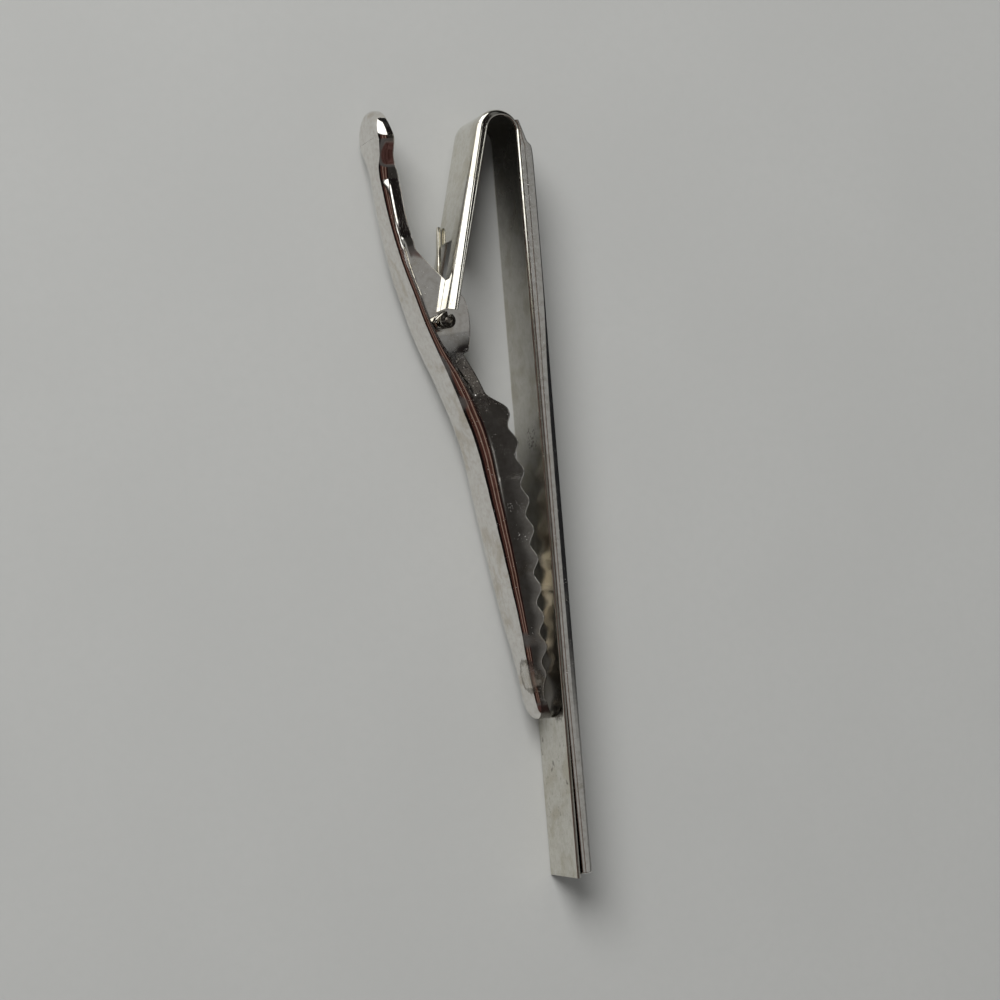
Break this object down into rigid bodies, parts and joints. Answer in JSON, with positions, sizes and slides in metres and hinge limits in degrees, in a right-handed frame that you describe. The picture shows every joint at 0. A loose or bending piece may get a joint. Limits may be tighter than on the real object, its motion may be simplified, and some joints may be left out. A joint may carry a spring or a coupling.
{
  "type": "tie clip",
  "caption": "Long flat bar folded back into a forked arm, with a sprung scalloped trough lever hinged on its end and closing on the bar.",
  "frame": {"origin": "under the middle of the whole clip's box, on the plane that the clip's lower long edges rest on", "axes": "+Y along the bar towards the bend, +X out of the front bar's face, +Z across the bar's width, up as the clip lies on its edge"},
  "size_m": [0.0132, 0.0634, 0.006],
  "materials": {
    "front_plate": "bright nickel plate, handled, with fine lengthwise scratches",
    "strip_plate": "thin nickel plate gone warm and dull, with dark specks and pits",
    "lever_plate": "bright nickel plate with worn patches on the back and tarnish in the folds",
    "pin_steel": "dark tarnished steel",
    "spring_wire": "drawn spring wire, slightly tarnished"
  },
  "bodies": {
    "bar_and_arm": {"front_bar": "front_plate", "clip_strip": "strip_plate", "pivot_pin": "pin_steel", "torsion_spring": "spring_wire"},
    "lever": {"jaw_lever": "lever_plate", "spring_free_leg": "spring_wire"}
  },
  "joints": [
    {"name": "lever_hinge", "type": "hinge", "parent": "bar_and_arm", "child": "lever", "pos_m": [-0.00188, 0.01406, 0.003], "axis": [0, 0, -1], "range_deg": [0, 16], "stiffness_Nm_per_rad": 0.02, "springref_deg": -28.65}
  ]
}
